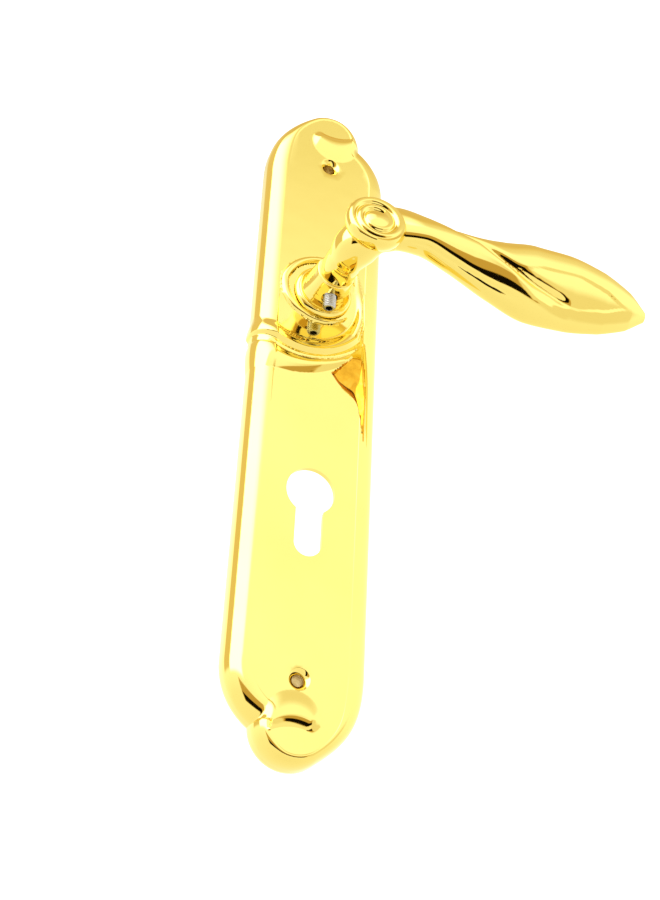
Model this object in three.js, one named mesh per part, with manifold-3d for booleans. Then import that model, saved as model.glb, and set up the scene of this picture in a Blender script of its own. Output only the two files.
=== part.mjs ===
// Scroll lever handle on a long hollow backplate with a euro-profile cylinder cut-out.
// Millimetres. Each piece is drawn in plan: x to the right, y up the door, z out of the door,
// with the spindle on the z axis and the door face at z = 0. The group then stands it up (+Z up).

import * as THREE from 'three';
import { mergeVertices } from 'three/addons/utils/BufferGeometryUtils.js';
import Module from 'manifold-3d';

const wasm = await Module();
wasm.setup();

// ---- driving dimensions ----

const GAP = 0.3; // between pieces that touch

// backplate
const PLATE_HALF_WIDTH = 24.6;
const PLATE_CENTRE_Y = -45.4;
const PANEL_HEIGHT = 11.5; // outer face of the flat panel
const SIDE_HEIGHT = 4.0; // straight side wall below the rolled edge
const ROLL_WIDTH = 7.4;
const WALL = 2.4;
const RELIEF = 1.1; // how far the ridges and scroll crescents stand proud
const RIDGE = { x: -5, y: -3, inner: 18.6, outer: 27.3 }; // upper ridge, swept round below the lever
const LOWER_RIDGE = { x: -13, y: -2.5, r: 36 };
const SCOOP_DEPTH = 1.2;
const EDGE_OVERRUN = -30; // ridges are drawn past the left edge and trimmed by the plate's form

// plate ends, measured from the plate's centre; the upper end is the lower one turned half round
const SHOULDER = { x: 1.4, y: -102.6, r: 26 };
const FINIAL = { x: 0.3, y: -122.9, r: 13.8 };
const FLANK_JOIN = { x: 8.5, y: -134.0 }; // where the plain flank runs into the finial

// cylinder cut-out and fixing holes
const CYLINDER_Y = -85;
const KEYHOLE_R = 8.9;
const KEYHOLE_SLOT = 10.0;
const KEYHOLE_LENGTH = 33.9;
const FIXING_Y = [63.1, -153.9];
const FIXING_HOLE_R = 2.1;
const FIXING_SINK_R = 3.9;
const PILLAR_R = 5.2;

// lever bearing
const SHANK_R = 7.8;
const SHANK_FLAT = 6.7; // half the distance across the shank's flats
const SOCKET_HALF = 4.1; // half the 8 mm spindle socket
const SOCKET_DEPTH = 26;
const BUSH_R = 9.9;
const BUSH_TOP = 13.6;
const FOOT_R = 9.4;
const FOOT_Z = 14.2;
const BEAD_R = 14.8;
const BEAD_HALF = 1.9;

// grub screw, M5, pointing straight up into the neck
const GRUB_Z = 20;
const GRUB_R = 2.5;
const GRUB_LENGTH = 6;
const GRUB_INNER_Y = -6.6;
const GRUB_HEX = 1.25; // half across the flats of the hex socket

// spring cassette behind the plate
const CUP_R = 16.4;
const CUP_WALL = 1.2;
const CUP_BACK = 2.9;
const CUP_FRONT = 7.6;
const CUP_FLOOR = 0.9;
const HUB_R = 10.6;
const HUB_BACK = 3.9;
const HUB_FRONT = 5.6;
const LEVER_SWING = 40; // degrees
const STOP_ORBIT = 10.0;
const STOP_R = 0.9;
const SPRING_R = 12.7;
const WIRE_R = 0.55;
const COVER_BACK = 1.6;
const COVER_FRONT = 2.6;
const RING_BACK = 0.5;
const RING_FRONT = 1.3;
const SCREW_X = 9;
const SCREW_Y = 18;
const SCREW_R = 1.2;
const SCREW_HEAD_R = 2.6;
const BOSS_R = 3;
const BOSS_BORE_R = 1.5;
const COVER_EAR_R = 3.4;

const brass = finish(0xe6c34a, 0.12);
const steel = finish(0xb9bcc0, 0.35);
const nylon = finish(0xe9e6da, 0.6, 0);

// ---- helpers ----

function finish(color, roughness, metalness = 1) {
  return new THREE.MeshStandardMaterial({ color, roughness, metalness });
}

function degrees(value) {
  return THREE.MathUtils.degToRad(value);
}

// a closed three.js geometry as a solid that can be joined and cut
function solid(geometry) {
  const bare = geometry.clone();
  bare.deleteAttribute('normal');
  bare.deleteAttribute('uv');
  const merged = mergeVertices(bare, 1e-4);
  const index = merged.index.array;
  const kept = [];
  for (let i = 0; i < index.length; i += 3) {
    const [a, b, c] = [index[i], index[i + 1], index[i + 2]];
    if (a !== b && b !== c && c !== a) kept.push(a, b, c);
  }
  const vertProperties = new Float32Array(merged.attributes.position.array);
  const triVerts = new Uint32Array(kept);
  return new wasm.Manifold(new wasm.Mesh({ numProp: 3, vertProperties, triVerts }));
}

function part(name, body, material) {
  const { vertProperties, triVerts } = body.getMesh();
  const geometry = new THREE.BufferGeometry();
  geometry.setAttribute('position', new THREE.BufferAttribute(new Float32Array(vertProperties), 3));
  geometry.setIndex(new THREE.BufferAttribute(new Uint32Array(triVerts), 1));
  geometry.computeVertexNormals();
  const mesh = new THREE.Mesh(geometry, material.clone());
  mesh.name = name;
  return mesh;
}

// a flat outline made into a slab from z = back to z = front
function slab(shape, back, front, curveSegments = 24) {
  const settings = { depth: front - back, bevelEnabled: false, curveSegments };
  const geometry = new THREE.ExtrudeGeometry(shape, settings);
  return solid(geometry.translate(0, 0, back));
}

// a profile of [radius, z] points turned about the spindle axis
function turned(profile, segments = 40) {
  const points = profile.map(([r, z]) => new THREE.Vector2(r, z));
  return solid(new THREE.LatheGeometry(points, segments).rotateX(Math.PI / 2));
}

function cylinder(r, back, front, x = 0, y = 0, segments = 24) {
  const geometry = new THREE.CylinderGeometry(r, r, front - back, segments).rotateX(Math.PI / 2);
  return solid(geometry.translate(x, y, (front + back) / 2));
}

function ring(inner, outer, back, front, segments = 32) {
  return turned([[inner, back], [outer, back], [outer, front], [inner, front], [inner, back]], segments);
}

function box(halfX, halfY, back, front, x = 0, y = 0) {
  const geometry = new THREE.BoxGeometry(2 * halfX, 2 * halfY, front - back);
  return solid(geometry.translate(x, y, (front + back) / 2));
}

// ---- backplate ----

// adds one plate end to the outline: shouldered on one side with a cusp, plain on the other.
// turn is 1 for the lower end and -1 for the upper one.
function addPlateEnd(shape, turn) {
  const centreY = PLATE_CENTRE_Y;
  const away = turn === 1 ? 0 : Math.PI;
  const spread = Math.hypot(FINIAL.x - SHOULDER.x, FINIAL.y - SHOULDER.y);
  const along = (SHOULDER.r ** 2 - FINIAL.r ** 2 + spread ** 2) / (2 * spread);
  const across = Math.sqrt(SHOULDER.r ** 2 - along ** 2);
  const ux = (FINIAL.x - SHOULDER.x) / spread;
  const uy = (FINIAL.y - SHOULDER.y) / spread;
  const cuspX = SHOULDER.x + ux * along + uy * across;
  const cuspY = SHOULDER.y + uy * along - ux * across;
  const shoulderEnd = Math.atan2(cuspY - SHOULDER.y, cuspX - SHOULDER.x) + 2 * Math.PI;
  const finialStart = Math.atan2(cuspY - FINIAL.y, cuspX - FINIAL.x) + 2 * Math.PI;
  const joinAngle = Math.atan2(FLANK_JOIN.y - FINIAL.y, FLANK_JOIN.x - FINIAL.x);
  const shoulderY = centreY + turn * SHOULDER.y;
  const finialY = centreY + turn * FINIAL.y;
  const finialEnd = joinAngle + 2 * Math.PI;
  shape.absarc(turn * SHOULDER.x, shoulderY, SHOULDER.r, Math.PI + away, shoulderEnd + away, false);
  shape.absarc(turn * FINIAL.x, finialY, FINIAL.r, finialStart + away, finialEnd + away, false);
  const reach = 12; // length of the flank's tangent at the finial
  const nearX = FLANK_JOIN.x - reach * Math.sin(joinAngle);
  const nearY = FLANK_JOIN.y + reach * Math.cos(joinAngle);
  shape.bezierCurveTo(
    turn * nearX, centreY + turn * nearY,
    turn * PLATE_HALF_WIDTH, centreY + turn * (SHOULDER.y - 18),
    turn * PLATE_HALF_WIDTH, centreY + turn * SHOULDER.y,
  );
}

function plateOutline() {
  const shape = new THREE.Shape();
  shape.moveTo(-PLATE_HALF_WIDTH, PLATE_CENTRE_Y + SHOULDER.y);
  addPlateEnd(shape, 1);
  shape.lineTo(PLATE_HALF_WIDTH, PLATE_CENTRE_Y - SHOULDER.y);
  addPlateEnd(shape, -1);
  shape.closePath();
  return shape;
}

// the plate's form with a rolled edge, taken in by `inset`, with `side` of straight wall and a flat top
function rolledForm(inset, side, top, roll) {
  const geometry = new THREE.ExtrudeGeometry(plateOutline(), {
    depth: 2 * side,
    bevelEnabled: true,
    bevelThickness: top - side,
    bevelSize: roll,
    bevelOffset: -roll - inset,
    bevelSegments: 4,
    curveSegments: 7,
  });
  const whole = solid(geometry.translate(0, 0, -side));
  return whole.intersect(box(60, 200, 0, 40));
}

function keyholeShape() {
  const shape = new THREE.Shape();
  const half = KEYHOLE_SLOT / 2;
  const meet = Math.asin(half / KEYHOLE_R);
  const slotY = CYLINDER_Y + KEYHOLE_R - KEYHOLE_LENGTH + half;
  shape.absarc(0, CYLINDER_Y, KEYHOLE_R, -Math.PI / 2 + meet, 1.5 * Math.PI - meet, false);
  shape.absarc(0, slotY, half, Math.PI, 2 * Math.PI, false);
  shape.closePath();
  return shape;
}

// the upper ridge: leaves the left edge, sweeps under the lever's rose and climbs its right side
function upperRidgeShape() {
  const shape = new THREE.Shape();
  shape.moveTo(EDGE_OVERRUN, -24.5);
  shape.absarc(RIDGE.x, RIDGE.y, RIDGE.outer, degrees(-118), degrees(-35), false);
  shape.lineTo(17.4, 4);
  shape.absarc(RIDGE.x, RIDGE.y, RIDGE.inner, degrees(22), degrees(-125), true);
  shape.lineTo(EDGE_OVERRUN, -12.5);
  shape.closePath();
  return shape;
}

// the lower ridge: a crescent hard under the upper one, running out to a point on the right
function lowerRidgeShape() {
  const shape = new THREE.Shape();
  shape.moveTo(EDGE_OVERRUN, -37);
  shape.absarc(LOWER_RIDGE.x, LOWER_RIDGE.y, LOWER_RIDGE.r, degrees(-97), degrees(-46), false);
  shape.absarc(RIDGE.x, RIDGE.y, RIDGE.outer + 3 * GAP, degrees(-50), degrees(-118), true);
  shape.lineTo(EDGE_OVERRUN, -25.4);
  shape.closePath();
  return shape;
}

// the scroll crescent that crowns each finial
function crescentShape(turn) {
  const shape = new THREE.Shape();
  const away = turn === 1 ? 0 : Math.PI;
  const outer = { x: -1.5, y: -122.1, r: 9.9 }; // from the plate's centre
  const inner = { x: -0.3, y: -132.6, r: 12.2 };
  const outerY = PLATE_CENTRE_Y + turn * outer.y;
  const innerY = PLATE_CENTRE_Y + turn * inner.y;
  shape.absarc(turn * outer.x, outerY, outer.r, degrees(-8) + away, degrees(190) + away, false);
  shape.absarc(turn * inner.x, innerY, inner.r, degrees(136) + away, degrees(48) + away, true);
  shape.closePath();
  return shape;
}

// the scooped facet between the lower ridge and the right-hand rolled edge
function facetShape() {
  const shape = new THREE.Shape();
  shape.moveTo(6.5, -35);
  shape.lineTo(14.5, -28);
  shape.lineTo(18.0, -31);
  shape.lineTo(18.3, -58);
  shape.quadraticCurveTo(17.5, -47, 14.0, -43);
  shape.quadraticCurveTo(9.0, -39.5, 6.5, -35);
  return shape;
}

// support sleeve between the door and the panel, round each fixing bolt
function fixingPillar(name, y) {
  const body = cylinder(PILLAR_R, 0, PANEL_HEIGHT - WALL - GAP / 2, 0, y, 20);
  return part(name, body.subtract(cylinder(FIXING_HOLE_R + GAP, -1, 20, 0, y, 20)), steel);
}

function fixingHole(y) {
  const sunk = PANEL_HEIGHT - (FIXING_SINK_R - FIXING_HOLE_R);
  const profile = [[0, -1], [FIXING_HOLE_R, -1], [FIXING_HOLE_R, sunk]];
  const clear = PANEL_HEIGHT + 3;
  profile.push([FIXING_SINK_R, PANEL_HEIGHT], [FIXING_SINK_R, clear], [0, clear]);
  return turned(profile, 24).translate([0, y, 0]);
}

function roseBead() {
  const profile = [];
  for (let i = 0; i <= 8; i += 1) {
    const angle = Math.PI * (i / 8);
    const across = BEAD_HALF * Math.cos(angle);
    profile.push([BEAD_R + across, PANEL_HEIGHT - GAP + BEAD_HALF * Math.sin(angle)]);
  }
  const buried = PANEL_HEIGHT - WALL / 2;
  profile.push([BEAD_R - BEAD_HALF, buried], [BEAD_R + BEAD_HALF, buried]);
  profile.push(profile[0]);
  return turned(profile, 48);
}

function backplate() {
  const proud = rolledForm(-RELIEF, SIDE_HEIGHT, PANEL_HEIGHT + RELIEF, ROLL_WIDTH);
  const cavity = rolledForm(WALL, SIDE_HEIGHT - GAP, PANEL_HEIGHT - WALL, ROLL_WIDTH - WALL / 2);
  let body = rolledForm(0, SIDE_HEIGHT, PANEL_HEIGHT, ROLL_WIDTH);
  for (const shape of [upperRidgeShape(), lowerRidgeShape(), crescentShape(1), crescentShape(-1)]) {
    body = body.add(proud.intersect(slab(shape, 0, 20, 12)));
  }
  body = body.add(roseBead()).subtract(cavity);
  for (const y of FIXING_Y) body = body.subtract(fixingHole(y));
  for (const x of [-SCREW_X, SCREW_X]) {
    for (const y of [-SCREW_Y, SCREW_Y]) {
      body = body.add(cylinder(BOSS_R, COVER_FRONT + GAP, PANEL_HEIGHT - WALL / 2, x, y, 16));
      body = body.subtract(cylinder(BOSS_BORE_R, 0, PANEL_HEIGHT - WALL, x, y, 12));
    }
  }
  body = body.subtract(cylinder(BUSH_R + GAP, -1, 20, 0, 0, 40));
  body = body.subtract(slab(facetShape(), PANEL_HEIGHT - SCOOP_DEPTH, 20, 8));
  body = body.subtract(slab(keyholeShape(), -1, 20, 16));
  return part('backplate', body, brass);
}

// ---- lever ----

// neck and arm as stations along one centre line: x, y, z, half height, half thickness, twist in degrees
const LEVER_STATIONS = [
  [0, 0, FOOT_Z + 1, 8.2, 8.2, 0],
  [0, 0, 20, 7.9, 7.9, 0],
  [0.2, 0, 26, 6.9, 6.9, 0],
  [0.6, 0, 35, 7.2, 7.2, 0],
  [2.0, 1.5, 43, 8.3, 8.3, 0],
  [6.5, 4.5, 49, 8.2, 7.8, 0],
  [14, 6.3, 50.5, 6.8, 7.2, 0],
  [24, 5.4, 50.6, 6.6, 6.6, 0],
  [36, 3.0, 50.4, 8.3, 6.6, 8],
  [52, -0.2, 50, 11.9, 6.6, 15],
  [68, -1.1, 49, 15.2, 6.4, 18],
  [84, 0.0, 48, 15.0, 5.8, 18],
  [99, 0.6, 47, 12.4, 4.8, 18],
  [111, 0.8, 46, 7.8, 3.4, 18],
  [118.5, 0.7, 45.4, 2.2, 1.4, 18],
];

// a tube through the stations, its round section stretched to each station's half sizes
function leverSweep() {
  const around = 18;
  const rows = 48;
  const last = LEVER_STATIONS.length - 1;
  const centres = LEVER_STATIONS.map(([x, y, z]) => new THREE.Vector3(x, y, z));
  const sections = LEVER_STATIONS.map(([, , , high, thick, turn]) => new THREE.Vector3(high, thick, turn));
  const spine = new THREE.CatmullRomCurve3(centres);
  const sizes = new THREE.CatmullRomCurve3(sections);
  const geometry = new THREE.CylinderGeometry(1, 1, 1, around, rows);
  const place = geometry.attributes.position;
  for (let i = 0; i < place.count; i += 1) {
    const t = THREE.MathUtils.clamp(0.5 - place.getY(i), 0, 1);
    const centre = spine.getPoint(t);
    const ahead = spine.getTangent(Math.min(Math.max(t, 0.5 / last), 1 - 0.5 / last)).normalize();
    const size = sizes.getPoint(t);
    const flat = new THREE.Vector3(0, 1, 0).addScaledVector(ahead, -ahead.y).normalize();
    const side = new THREE.Vector3().crossVectors(ahead, flat).normalize();
    const twist = degrees(size.z);
    const up = flat.clone().multiplyScalar(Math.cos(twist)).addScaledVector(side, Math.sin(twist));
    const out = side.clone().multiplyScalar(Math.cos(twist)).addScaledVector(flat, -Math.sin(twist));
    const radius = Math.hypot(place.getX(i), place.getZ(i));
    const angle = Math.atan2(place.getZ(i), place.getX(i));
    centre.addScaledVector(up, size.x * radius * Math.cos(angle));
    centre.addScaledVector(out, size.y * radius * Math.sin(angle));
    place.setXYZ(i, centre.x, centre.y, centre.z);
  }
  return solid(geometry);
}

// the rolled scroll on the elbow: a domed disc with a raised spiral edge and a central boss
function scroll() {
  const profile = [[0, -8], [7.5, -8], [9.8, -5], [10.6, -1], [10.4, 1.6], [9.3, 2.8], [7.8, 2.6]];
  profile.push([6.6, 1.6], [5.4, 1.6], [4.4, 2.8], [2.8, 3.4], [0, 3.6]);
  return turned(profile, 28).rotate([-7, 0, 0]).translate([4.6, 4.4, 53]);
}

function leverShank() {
  const round = cylinder(SHANK_R, 0.2, FOOT_Z + 2, 0, 0, 40);
  const shoulder = HUB_FRONT + 0.2;
  const flats = box(SHANK_FLAT, SHANK_FLAT, 0, shoulder).add(box(20, 20, shoulder, 40));
  const groove = ring(7.05, 20, RING_BACK - 0.1, RING_FRONT + 0.1);
  return round.intersect(flats).subtract(groove);
}

function lever() {
  const foot = turned([[0, FOOT_Z], [FOOT_R, FOOT_Z], [FOOT_R, 15.2], [8.3, 17.2], [7.6, 20.5], [0, 22]]);
  let body = leverSweep().add(scroll()).add(foot).add(leverShank());
  body = body.subtract(box(SOCKET_HALF, SOCKET_HALF, -1, SOCKET_DEPTH));
  const drill = new THREE.CylinderGeometry(GRUB_R + GAP, GRUB_R + GAP, 20, 20);
  return part('lever', body.subtract(solid(drill.translate(0, -10, GRUB_Z))), brass);
}

function grubScrew() {
  const thread = [[0, 0]];
  const turns = 6;
  const pitch = GRUB_LENGTH / turns;
  for (let i = 0; i < turns; i += 1) {
    thread.push([GRUB_R - 0.35, -pitch * (i + 0.08)], [GRUB_R, -pitch * (i + 0.5)]);
  }
  thread.push([GRUB_R - 0.35, -GRUB_LENGTH], [0, -GRUB_LENGTH]);
  const points = thread.map(([r, y]) => new THREE.Vector2(r, y)).reverse();
  const body = solid(new THREE.LatheGeometry(points, 20));
  const hex = new THREE.CylinderGeometry(GRUB_HEX / 0.866, GRUB_HEX / 0.866, 3, 6);
  const screw = body.subtract(solid(hex.translate(0, -GRUB_LENGTH, 0)));
  return part('grub_screw', screw.translate([0, GRUB_INNER_Y, GRUB_Z]), steel);
}

// ---- bearing and cassette ----

function neckFerrule() {
  const profile = [[10.3, PANEL_HEIGHT + GAP], [12.4, PANEL_HEIGHT + GAP], [12.4, 12.4], [11.2, 12.9]];
  profile.push([10.7, 13.9], [10.3, 13.9], [10.3, PANEL_HEIGHT + GAP]);
  return part('neck_ferrule', turned(profile), brass);
}

function bearingBush() {
  const flange = ring(SHANK_R + 0.2, 12.6, CUP_FRONT + GAP, PANEL_HEIGHT - WALL - GAP);
  const sleeve = ring(SHANK_R + 0.2, BUSH_R, CUP_FRONT + GAP, BUSH_TOP);
  return part('bearing_bush', sleeve.add(flange), nylon);
}

function stopPlace(angle) {
  return [STOP_ORBIT * Math.cos(angle), STOP_ORBIT * Math.sin(angle)];
}

function springHousing() {
  const inner = CUP_R - CUP_WALL;
  const [x, y] = stopPlace(Math.PI);
  let body = cylinder(CUP_R, CUP_BACK, CUP_FRONT, 0, 0, 48);
  body = body.subtract(cylinder(inner, 0, CUP_FRONT - CUP_FLOOR, 0, 0, 48));
  body = body.subtract(cylinder(SHANK_R + 0.5, 0, 20, 0, 0, 40));
  body = body.subtract(box(4, 1.0, 0, CUP_FRONT - CUP_FLOOR, inner, -4));
  body = body.subtract(cylinder(STOP_R + 0.05, 0, 20, x, y, 16));
  return part('spring_housing', body, steel);
}

function stopPin() {
  const [x, y] = stopPlace(Math.PI);
  return part('stop_pin', cylinder(STOP_R, HUB_BACK, CUP_FRONT, x, y, 16), steel);
}

// a pad-edged disc on the shank's flats, with a rim notch that runs against the stop pin
function springDriver() {
  const flats = box(SHANK_FLAT + 0.2, SHANK_FLAT + 0.2, 0, 20);
  const hole = flats.intersect(cylinder(SHANK_R + 0.2, 0, 20, 0, 0, 40));
  const notch = new THREE.Shape();
  const play = Math.asin((STOP_R + 0.12) / STOP_ORBIT);
  const from = Math.PI - play;
  const to = Math.PI + degrees(LEVER_SWING) + play;
  notch.absarc(0, 0, HUB_R + 2, from, to, false);
  notch.absarc(0, 0, STOP_ORBIT - STOP_R - 0.3, to, from, true);
  let body = cylinder(HUB_R, HUB_BACK, HUB_FRONT, 0, 0, 48).subtract(hole);
  body = body.subtract(slab(notch, 0, 20, 12)).subtract(box(0.9, 2, 0, 20, 0, HUB_R));
  return part('spring_driver', body, steel);
}

// torsion spring: one leg reaches in to the driver's rim slot, the other out through the housing's slot
function returnSpring() {
  const points = [];
  const put = (x, y, z) => points.push(new THREE.Vector3(x, y, z));
  const start = degrees(84);
  const end = degrees(-12 - 360);
  const steps = 44;
  put(0, HUB_R - 1.4, HUB_FRONT - 0.8);
  put(0, HUB_R + 0.6, HUB_FRONT - 0.8);
  for (let i = 0; i <= steps; i += 1) {
    const angle = THREE.MathUtils.lerp(start, end, i / steps);
    const height = THREE.MathUtils.lerp(HUB_FRONT - 0.5, CUP_BACK + 1.0, i / steps);
    put(SPRING_R * Math.cos(angle), SPRING_R * Math.sin(angle), height);
  }
  put(CUP_R - 1.2, -4, CUP_BACK + 0.9);
  put(CUP_R - 0.3, -4, CUP_BACK + 0.9);
  const circle = new THREE.Shape();
  circle.absarc(0, 0, WIRE_R, 0, 2 * Math.PI, false);
  const path = new THREE.CatmullRomCurve3(points, false, 'centripetal');
  const geometry = new THREE.ExtrudeGeometry(circle, { steps: 64, extrudePath: path, curveSegments: 3 });
  return part('return_spring', solid(geometry), steel);
}

function waveWasher() {
  const profile = [[8.3, 0], [10.2, 0], [10.2, 0.3], [8.3, 0.3], [8.3, 0]];
  const points = profile.map(([r, z]) => new THREE.Vector2(r, z));
  const geometry = new THREE.LatheGeometry(points, 36).rotateX(Math.PI / 2);
  const place = geometry.attributes.position;
  for (let i = 0; i < place.count; i += 1) {
    const angle = Math.atan2(place.getY(i), place.getX(i));
    place.setZ(i, place.getZ(i) + HUB_FRONT + 0.35 + 0.12 * Math.cos(3 * angle));
  }
  const [x, y] = stopPlace(Math.PI);
  const notch = cylinder(STOP_R + GAP, 0, 20, x, y, 16);
  return part('wave_washer', solid(geometry).subtract(notch), steel);
}

function thrustWasher() {
  return part('thrust_washer', ring(SHANK_R + 0.3, HUB_R, COVER_FRONT + GAP, HUB_BACK - GAP), nylon);
}

// rounded cover plate, screwed to the four bosses
function housingCover() {
  const shape = new THREE.Shape();
  shape.absarc(0, 0, CUP_R, degrees(-38), degrees(38), false);
  shape.absarc(SCREW_X, SCREW_Y, COVER_EAR_R, degrees(0), degrees(90), false);
  shape.absarc(-SCREW_X, SCREW_Y, COVER_EAR_R, degrees(90), degrees(180), false);
  shape.absarc(0, 0, CUP_R, degrees(142), degrees(218), false);
  shape.absarc(-SCREW_X, -SCREW_Y, COVER_EAR_R, degrees(180), degrees(270), false);
  shape.absarc(SCREW_X, -SCREW_Y, COVER_EAR_R, degrees(270), degrees(360), false);
  shape.closePath();
  let body = slab(shape, COVER_BACK, COVER_FRONT, 10).subtract(cylinder(SHANK_R + 0.5, 0, 20, 0, 0, 40));
  for (const x of [-SCREW_X, SCREW_X]) {
    for (const y of [-SCREW_Y, SCREW_Y]) body = body.subtract(cylinder(1.7, 0, 20, x, y, 12));
  }
  return part('housing_cover', body, steel);
}

function housingScrew(number, x, y) {
  const seat = COVER_BACK - GAP;
  const profile = [[0, 0.1], [2.0, 0.1], [SCREW_HEAD_R, 0.5], [SCREW_HEAD_R, seat]];
  profile.push([SCREW_R, seat], [SCREW_R, 8], [0, 8.6]);
  const slot = box(0.35, 3, -1, 0.7, x, y);
  const body = turned(profile, 16).translate([x, y, 0]);
  return part(`housing_screw_${number}`, body.subtract(slot), steel);
}

// open ring with two lug holes, sprung into the shank's groove
function retainingRing() {
  const lugs = [-2.6, 2.6];
  let body = cylinder(9.6, RING_BACK, RING_FRONT, 0, 0, 32);
  for (const x of lugs) body = body.add(cylinder(1.7, RING_BACK, RING_FRONT, x, -9.4, 12));
  body = body.subtract(cylinder(7.3, 0, 3, 0, 0, 32)).subtract(box(1.2, 4, 0, 3, 0, -10));
  for (const x of lugs) body = body.subtract(cylinder(0.7, 0, 3, x, -9.7, 8));
  return part('retaining_ring', body, steel);
}

// ---- assembly ----

const handle = new THREE.Group();
handle.rotation.x = Math.PI / 2;
handle.add(backplate(), lever(), grubScrew(), neckFerrule(), bearingBush());
handle.add(springHousing(), stopPin(), springDriver(), returnSpring(), waveWasher());
handle.add(thrustWasher(), housingCover(), retainingRing());
handle.add(fixingPillar('fixing_pillar_upper', FIXING_Y[0]));
handle.add(fixingPillar('fixing_pillar_lower', FIXING_Y[1]));
handle.add(housingScrew(1, -SCREW_X, -SCREW_Y), housingScrew(2, SCREW_X, -SCREW_Y));
handle.add(housingScrew(3, -SCREW_X, SCREW_Y), housingScrew(4, SCREW_X, SCREW_Y));

const assembly = new THREE.Group();
assembly.add(handle);

export default assembly;
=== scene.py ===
"""Scroll lever handle on a long hollow backplate: the looks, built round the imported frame.

Shapes are drawn in millimetres in plan: x to the right, y up the door, out away from the door,
with the lever's turning axis at x = y = 0. as_world() turns plan points into the row frame in metres.
"""
import math

import bmesh
import bpy
import numpy as np
from mathutils import Matrix, Vector
from mathutils.geometry import delaunay_2d_cdt


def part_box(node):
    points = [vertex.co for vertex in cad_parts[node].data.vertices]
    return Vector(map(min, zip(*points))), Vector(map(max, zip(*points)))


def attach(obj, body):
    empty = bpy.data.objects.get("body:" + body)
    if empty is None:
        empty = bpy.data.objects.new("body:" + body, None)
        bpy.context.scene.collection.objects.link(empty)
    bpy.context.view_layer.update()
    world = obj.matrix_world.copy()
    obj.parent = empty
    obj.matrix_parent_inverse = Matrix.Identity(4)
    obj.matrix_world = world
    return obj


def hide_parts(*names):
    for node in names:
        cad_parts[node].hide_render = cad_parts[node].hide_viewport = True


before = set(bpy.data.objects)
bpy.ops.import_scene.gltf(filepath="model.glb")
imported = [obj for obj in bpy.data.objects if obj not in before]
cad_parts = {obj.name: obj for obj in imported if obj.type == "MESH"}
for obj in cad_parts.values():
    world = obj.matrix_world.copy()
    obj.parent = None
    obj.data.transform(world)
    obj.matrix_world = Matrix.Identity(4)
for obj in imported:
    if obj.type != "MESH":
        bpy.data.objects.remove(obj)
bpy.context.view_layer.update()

MM = 0.001

# backplate
HALF_WIDTH = 24.6
CENTRE_Y = -45.4
PANEL = 11.5
SIDE = 4.0
ROLL = 7.4
SIDE_ROLL = 4.6
RIM_ROLL = 3.0
WALL = 2.4
SHOULDER = (1.4, -102.6, 26.0)
FINIAL = (0.3, -122.89, 13.8)
FLANK_JOIN = (8.5, -134.0)
PANEL_SINK = 0.14
PANEL_STEP = 0.42
ROLL_STEPS = 20
CORNER_STEPS = 8

# ornament on the plate
RIDGE_HEIGHT = 2.1
LOWER_RIDGE_HEIGHT = 1.4
RELIEF_AT_SIDE = 1.0
SCOOP_DEPTH = 2.15
BEAD_HEIGHT = 1.6
CREST_HEIGHT = 1.5

# cut-outs
CYLINDER_Y = -85.0
KEYHOLE_R = 8.9
SLOT_HALF = 5.0
KEYHOLE_LENGTH = 33.9
FIXING_Y = (63.1, -153.9)
HOLE_R = 2.1
SINK_R = 3.9
BUSH_HOLE_R = 10.2

# lever: socket, the share of the stations where the tube starts, grub screw, scroll
SOCKET_HALF = 4.1
SOCKET_TOP = 25.4
TUBE_START = 0.14
GRUB_OUT = 20.0
GRUB_HOLE_R = 2.9
GRUB_LENGTH = 6.0
GRUB_PITCH = 0.8
SCROLL_PLACE = (5.0, 4.4, 52.8)
SCROLL_LEAN = -7

# the lever's path: x, y, out, half height, half thickness, twist in degrees
LEVER_STATIONS = [
    (0, 0, 15.2, 4.2, 4.2, 0),
    (0, 0, 20, 4.4, 4.4, 0),
    (0.2, 0, 26, 6.7, 6.7, 0),
    (0.6, 0, 35, 6.9, 6.9, 0),
    (2.0, 1.5, 42, 8.3, 8.3, 0),
    (6.5, 5.4, 46.8, 9.2, 6.4, 0),
    (14, 8.1, 48.2, 9.0, 6.0, 0),
    (24, 5.9, 50.2, 7.1, 6.5, 0),
    (36, 3.0, 50.4, 8.3, 6.6, 8),
    (52, -0.2, 50, 11.9, 6.6, 15),
    (68, -1.1, 49, 15.2, 6.4, 18),
    (84, 0.0, 48, 15.0, 5.8, 18),
    (99, 0.6, 47, 12.4, 4.8, 18),
    (111, 0.8, 46, 7.8, 3.4, 18),
    (118.48, 0.7, 45.4, 2.2, 1.4, 18),
]


# ---- small helpers ----

def smooth(t):
    t = np.clip(t, 0.0, 1.0)
    return t * t * (3 - 2 * t)


def as_world(points):
    p = np.asarray(points, float)
    return np.stack([p[:, 0], -p[:, 2], p[:, 1]], axis=1) * MM


def make_object(name, points, faces, material, sharp=32.0):
    """A mesh object from plan points, smooth shaded with creases kept above the angle `sharp`."""
    mesh = bpy.data.meshes.new(name)
    mesh.from_pydata(as_world(points).tolist(), [], [list(map(int, f)) for f in faces])
    obj = bpy.data.objects.new(name, mesh)
    bpy.context.scene.collection.objects.link(obj)
    b = bmesh.new()
    b.from_mesh(mesh)
    bmesh.ops.remove_doubles(b, verts=b.verts, dist=2e-6)
    bmesh.ops.dissolve_degenerate(b, edges=b.edges, dist=1e-7)
    bmesh.ops.recalc_face_normals(b, faces=b.faces)
    b.to_mesh(mesh)
    b.free()
    mesh.materials.append(material)
    mesh.shade_smooth()
    mesh.set_sharp_from_angle(angle=math.radians(sharp))
    return obj


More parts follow.
